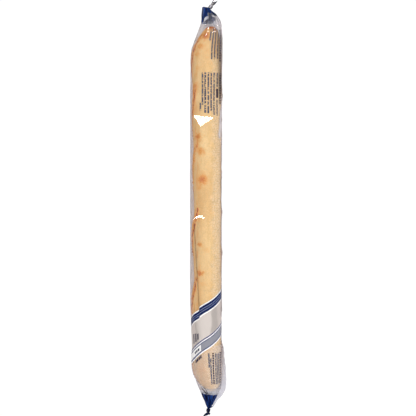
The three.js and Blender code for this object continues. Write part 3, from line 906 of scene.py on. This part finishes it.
def filmHaze(x, across, fromSeam, angle, fold, edge):
    # how milky the film is: in its sealed edges, where it is crumpled and past the sash
    streak = 0.5 + 0.5 * ripple(x, angle, (40, 0.35), 71)
    sashEnd = film["sashStart"] + film["sashClimb"] * fromSeam + film["sashWidth"]
    pastSash = 0.02 + 0.23 * step(0, 2, x - np.maximum(sashEnd, 206))
    smooth = window(x, (-300.5, -298), (-284, -287)) * (np.abs(angle - math.radians(80)) < 1.2)
    crumpled = np.maximum(step(-275, -287, x) * (1 - 0.65 * smooth), step(276, 290, x))
    # a pale rim along the head's navy, on the upper flank: milky film as a painted highlight
    rim = step(2.6, 1.2, np.abs(edge - 1.2)) * (x < -283) * (x > -302)
    rim = rim * (angle < math.radians(150)) * (angle > 0.7) * (np.abs(angle - math.radians(75)) > 0.35)
    # milky film along the base side, standing for a loose flap of the back seam
    flap = hump(angle - np.interp(x, [-158, -112], [0.3, 0.55]), 0.17)
    flap *= window(x, (-160, -148), (-102, -114))
    tube = np.maximum.reduce([
        pastSash, crumpled * (0.2 + 0.16 * streak), 0.7 * rim, 0.62 * flap, 0.2 * fold,
        0.6 * step(-306, -309, x), 0.42 * step(262, 279, x),
    ])
    seam = 0.2 + 0.25 * streak + 0.2 * np.maximum(step(-200, -250, x), step(190, 240, x))
    return np.where(isSealed(across), seam, tube)


def filmPaintedShade(x, across, angle):
    # painted shade: how much darker the film is drawn where it folds sharply or lies in shade
    (start, _), (end, _) = film["tuck"]
    tuck = hump((angle - tuckAngle(x)) * film["meanRadius"], 0.95)
    places = [
        0.5 * tuck * window(x, (start, start + 12), (end + 12, end)),
        # painted shade on the tray side of the head, and on the seam's edges over it
        0.62 * hump(angle - 0.34, 0.4) * window(x, (-278, -268), (-160, -182)),
        0.45 * isSealed(across) * window(x, (-272, -262), (-160, -182)),
        # painted shade past both clips, and on one side of the head's neck
        0.8 * np.maximum(step(-311, -313.5, x), step(306, 309, x)),
        0.6 * step(1.0, 0.7, angle) * window(x, (-303.5, -301), (-294.5, -297)),
    ]
    for depth, turned in film["tailFoldShades"]:
        line = np.radians(np.interp(x, [272, 284], turned))
        places.append(depth * hump(angle - line, 0.08) * window(x, (270, 273), (286, 284)))
    return np.maximum.reduce(places)


def makeFilm():
    clearSelection()
    rows, columns = film["lengthSteps"], film["tubeSteps"] + 2 * film["finSteps"]
    bpy.ops.mesh.primitive_grid_add(x_subdivisions=rows, y_subdivisions=columns, size=2)
    piece = takeActive("printed_film_bag")
    x, across, fromSeam, angle, fold, points = layFilm()
    # each point of the plane grid takes its place; the columns run backwards so that faces point out
    plane = readPoints(piece)
    row = np.rint((plane[:, 0] + 1) / 2 * rows).astype(int)
    column = columns - np.rint((plane[:, 1] + 1) / 2 * columns).astype(int)
    writePoints(piece, points[row, column] * mm + centre)
    edge, ink = endInk(x, across, angle)
    # painted shade where the film folds or lies in shade, which also thins its haze
    paintedFoldShade = filmPaintedShade(x, across, angle)
    haze = filmHaze(x, across, fromSeam, angle, fold, edge) * (1 - paintedFoldShade)
    writeValue(piece, "endInk", ink[row, column])
    writeValue(piece, "paintedFoldShade", paintedFoldShade[row, column])
    writeValue(piece, "haze", haze[row, column])
    for layer in list(piece.data.uv_layers):
        piece.data.uv_layers.remove(layer)
    writeFlat(piece, "filmFlat", np.c_[x[row, column], across[row, column] - film["finWidth"]])
    piece.data.materials.append(makeFilmMaterial())
    smoothPiece(piece)
    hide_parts("film_bag")
    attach(piece, "root")
    print("film:", len(piece.data.polygons), "faces")


# the two clips that hold the gathered necks
clips = {
    # material, colour and roughness of each
    "bands": {
        "head_clip": ("aluminium_strip_crimped", "#6E6C72", 0.34),
        # the tail's band is coloured dark navy as painted shade, for a neck that lies in shade among the
        # gathered film
        "tail_clip": ("aluminium_strip_dark_as_painted_shade", "#161B3A", 0.42),
    },
    "lineSize": 0.4,  # of the draw lines that run round the band
    "dentSize": 1.8,
    "depth": 0.6,
}


def makeClipMaterial(name, colour, roughness):
    # soft aluminium strip crimped round the neck: bright where it is drawn, and darkened in its dents by
    # painted shade
    material, tree = newMaterial(name)
    place = addNode(tree, "TexCoord", out="Object")
    drawn = addNode(tree, "Mapping", {"Vector": place, "Scale": (1, 0.2, 0.2)})
    lines = addNode(tree, "TexNoise", {"Vector": drawn, "Scale": 1 / (clips["lineSize"] * mm), "Detail": 2})
    dents = addNode(tree, "TexNoise", {"Vector": place, "Scale": 1 / (clips["dentSize"] * mm), "Detail": 2})
    red, green, blue, _ = linear(colour)
    # painted shade: the dents darken to 0.15 of the metal's colour
    shadeInDents = (0.15 * red, 0.15 * green, 0.15 * blue, 1)
    shadedDents = addNode(tree, "ValToRGB", {"Fac": dents}, stops=[(0.3, shadeInDents), (0.55, linear(colour))])
    height = addNode(tree, "Math", {0: lines, 1: 0.2, 2: dents}, operation="MULTIPLY_ADD")
    normal = addNode(tree, "Bump", {"Height": height, "Strength": 0.8, "Distance": clips["depth"] * mm})
    surface = addNode(
        tree, "BsdfPrincipled",
        {"Base Color": shadedDents, "Metallic": 1.0, "Normal": normal, "Roughness": roughness},
    )
    addNode(tree, "OutputMaterial", {"Surface": surface})
    return material


def dressClips():
    for name, (kind, colour, roughness) in clips["bands"].items():
        node = bpy.data.objects[name]
        material = makeClipMaterial(kind, colour, roughness)
        if not node.material_slots:
            node.data.materials.append(material)
        for slot in node.material_slots:
            slot.material = material
    print("clips: two CAD bands have their metal")


makeStudio()
makeLoaf()
makeFilm()
dressClips()
